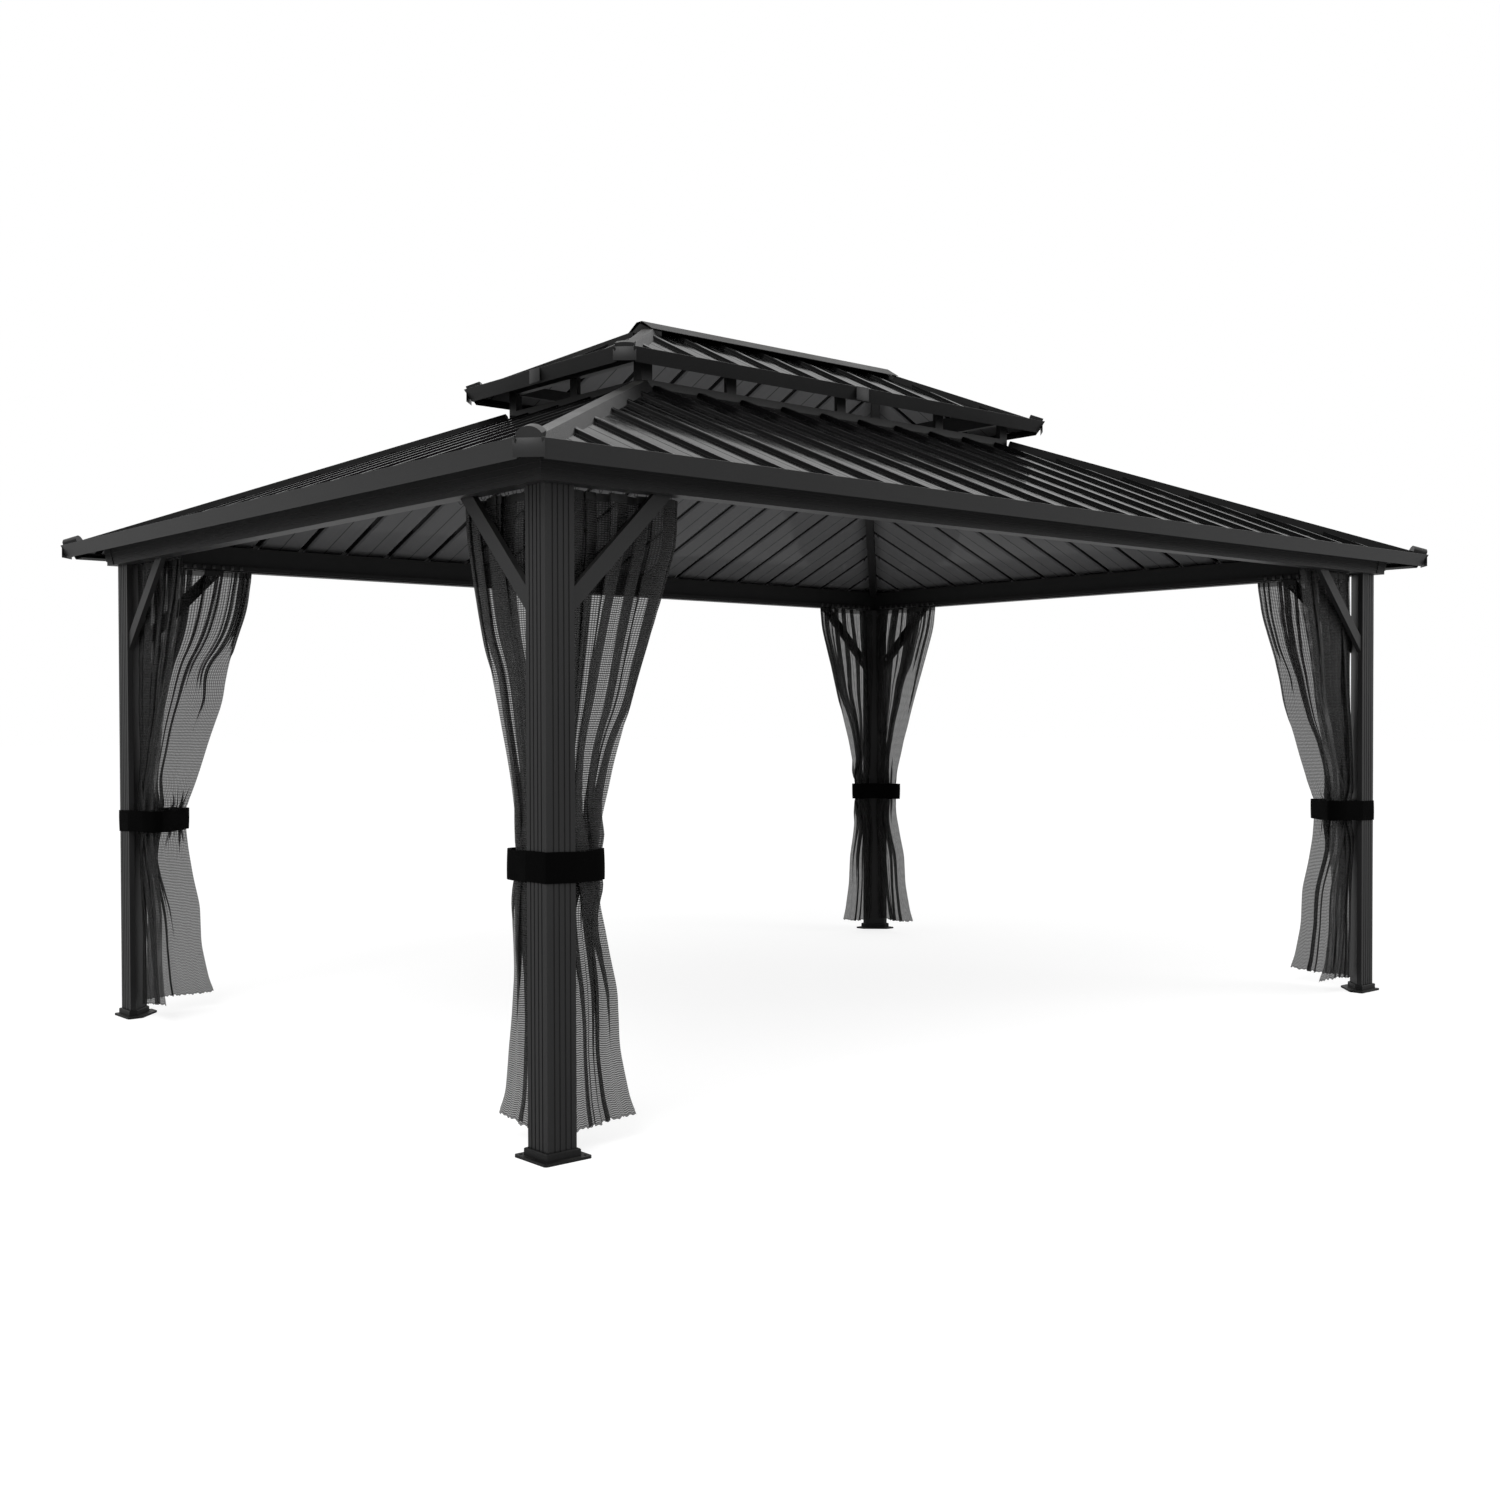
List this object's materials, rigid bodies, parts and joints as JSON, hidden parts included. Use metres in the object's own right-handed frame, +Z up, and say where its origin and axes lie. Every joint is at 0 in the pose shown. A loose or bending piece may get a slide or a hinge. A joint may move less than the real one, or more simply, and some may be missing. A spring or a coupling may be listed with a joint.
{
  "type": "metal gazebo",
  "caption": "Rectangular hardtop metal gazebo with two stacked hip roofs of ribbed sheet, corner posts on base plates, knee braces and tied-back netting curtains.",
  "frame": {"origin": "on the ground at the centre of the plan", "axes": "+X along the long side, +Y towards the back, +Z up; front is -Y, left is -X"},
  "size_m": [4.88, 3.5502, 2.8573],
  "materials": {
    "frame_coat": "satin charcoal powder coat on extrusions and tubes",
    "roof_coat": "semi-gloss charcoal coil coat on ribbed steel sheet",
    "trim_coat": "satin charcoal coat on folded fascia and caps",
    "foot_coat": "satin charcoal coat on steel base plates",
    "netting": "fine black polyester mesh, see-through in one layer",
    "tie_strap": "black woven strap with a touch fastener"
  },
  "bodies": {
    "root": {"beam_back": "frame_coat", "beam_corner_blocks": "frame_coat", "beam_front": "frame_coat", "beam_left": "frame_coat", "beam_right": "frame_coat", "braces_back_left": "frame_coat", "braces_back_right": "frame_coat", "braces_front_left": "frame_coat", "braces_front_right": "frame_coat", "curtain_back_left": "netting", "curtain_back_right": "netting", "curtain_front_left": "netting", "curtain_front_right": "netting", "curtain_rails": "frame_coat", "curtain_ties": "tie_strap", "foot_back_left": "foot_coat", "foot_back_right": "foot_coat", "foot_front_left": "foot_coat", "foot_front_right": "foot_coat", "lower_corner_caps": "trim_coat", "lower_fascia_back": "trim_coat", "lower_fascia_front": "trim_coat", "lower_fascia_left": "trim_coat", "lower_fascia_right": "trim_coat", "lower_hip_caps": "trim_coat", "lower_hip_rafters": "frame_coat", "lower_sheet_back": "roof_coat", "lower_sheet_front": "roof_coat", "lower_sheet_left": "roof_coat", "lower_sheet_right": "roof_coat", "post_back_left": "frame_coat", "post_back_right": "frame_coat", "post_front_left": "frame_coat", "post_front_right": "frame_coat", "ridge_beam": "frame_coat", "ridge_cap": "trim_coat", "upper_corner_caps": "trim_coat", "upper_fascia": "trim_coat", "upper_hip_caps": "trim_coat", "upper_hip_rafters": "frame_coat", "upper_sheet_back": "roof_coat", "upper_sheet_front": "roof_coat", "upper_sheet_left": "roof_coat", "upper_sheet_right": "roof_coat", "vent_curb": "frame_coat", "vent_head": "frame_coat", "vent_struts": "frame_coat"}
  },
  "joints": []
}
